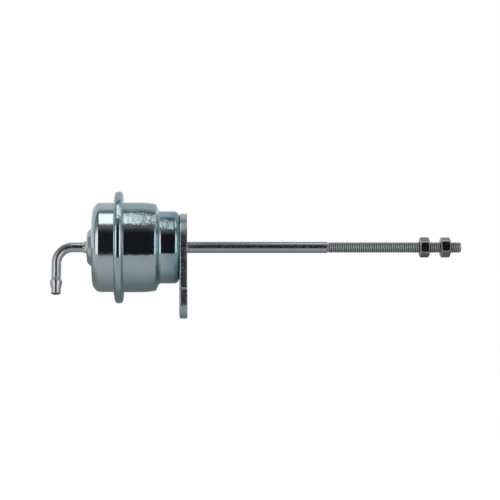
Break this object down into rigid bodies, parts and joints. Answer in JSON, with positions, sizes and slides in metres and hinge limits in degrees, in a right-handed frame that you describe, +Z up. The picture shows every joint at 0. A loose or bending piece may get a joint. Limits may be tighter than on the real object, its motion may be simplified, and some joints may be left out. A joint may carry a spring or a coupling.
{
  "type": "wastegate actuator",
  "caption": "Pressed diaphragm can with a bent hose tube and a mounting plate; air pressure pushes out a spring-returned rod with a threaded end and two hexagon nuts.",
  "frame": {"origin": "where the rod's axis meets the front face of the mounting plate", "axes": "+X along the rod, out of the can; +Z up, away from the plate's ears; the hose tube's leg points down and leans to -Y"},
  "size_m": [0.2185, 0.062, 0.0667],
  "materials": {
    "zinc_plate": "bright blue-passivated zinc on drawn steel",
    "punched_zinc": "zinc plating on punched steel strip, with duller cut edges",
    "tube_zinc": "bright zinc plating on drawn tube",
    "braze": "filler metal under bright zinc plating",
    "rod_steel": "ground and polished steel",
    "nut_steel": "dull oiled steel",
    "spring_steel": "wound spring wire",
    "bush_bronze": "sintered oil-filled bronze",
    "black_rubber": "moulded rubber"
  },
  "bodies": {
    "can": {"rear_cover": "zinc_plate", "hose_tube": "tube_zinc", "braze_ring": "braze", "front_shell": "zinc_plate", "mounting_plate": "punched_zinc", "diaphragm": "black_rubber", "return_spring": "spring_steel", "spring_seat": "zinc_plate", "guide_bush": "bush_bronze", "bush_holder": "zinc_plate", "rod_seal": "black_rubber", "seal_washer": "punched_zinc"},
    "push_rod": {"rod": "rod_steel", "piston_cup": "zinc_plate", "retainer_plate": "zinc_plate", "backing_washer": "nut_steel"},
    "inner_nut_body": {"inner_nut": "nut_steel"},
    "outer_nut_body": {"outer_nut": "nut_steel"}
  },
  "joints": [
    {"name": "rod_slide", "type": "slide", "parent": "can", "child": "push_rod", "axis": [1, 0, 0], "range_m": [0, 0.012], "stiffness_N_per_m": 2800, "deforming": ["return_spring", "diaphragm"]},
    {"name": "inner_nut_turn", "type": "hinge", "parent": "push_rod", "child": "inner_nut_body", "pos_m": [0.1265, 0, 0], "axis": [1, 0, 0], "continuous": true},
    {"name": "outer_nut_turn", "type": "hinge", "parent": "push_rod", "child": "outer_nut_body", "pos_m": [0.1377, 0, 0], "axis": [1, 0, 0], "continuous": true}
  ]
}
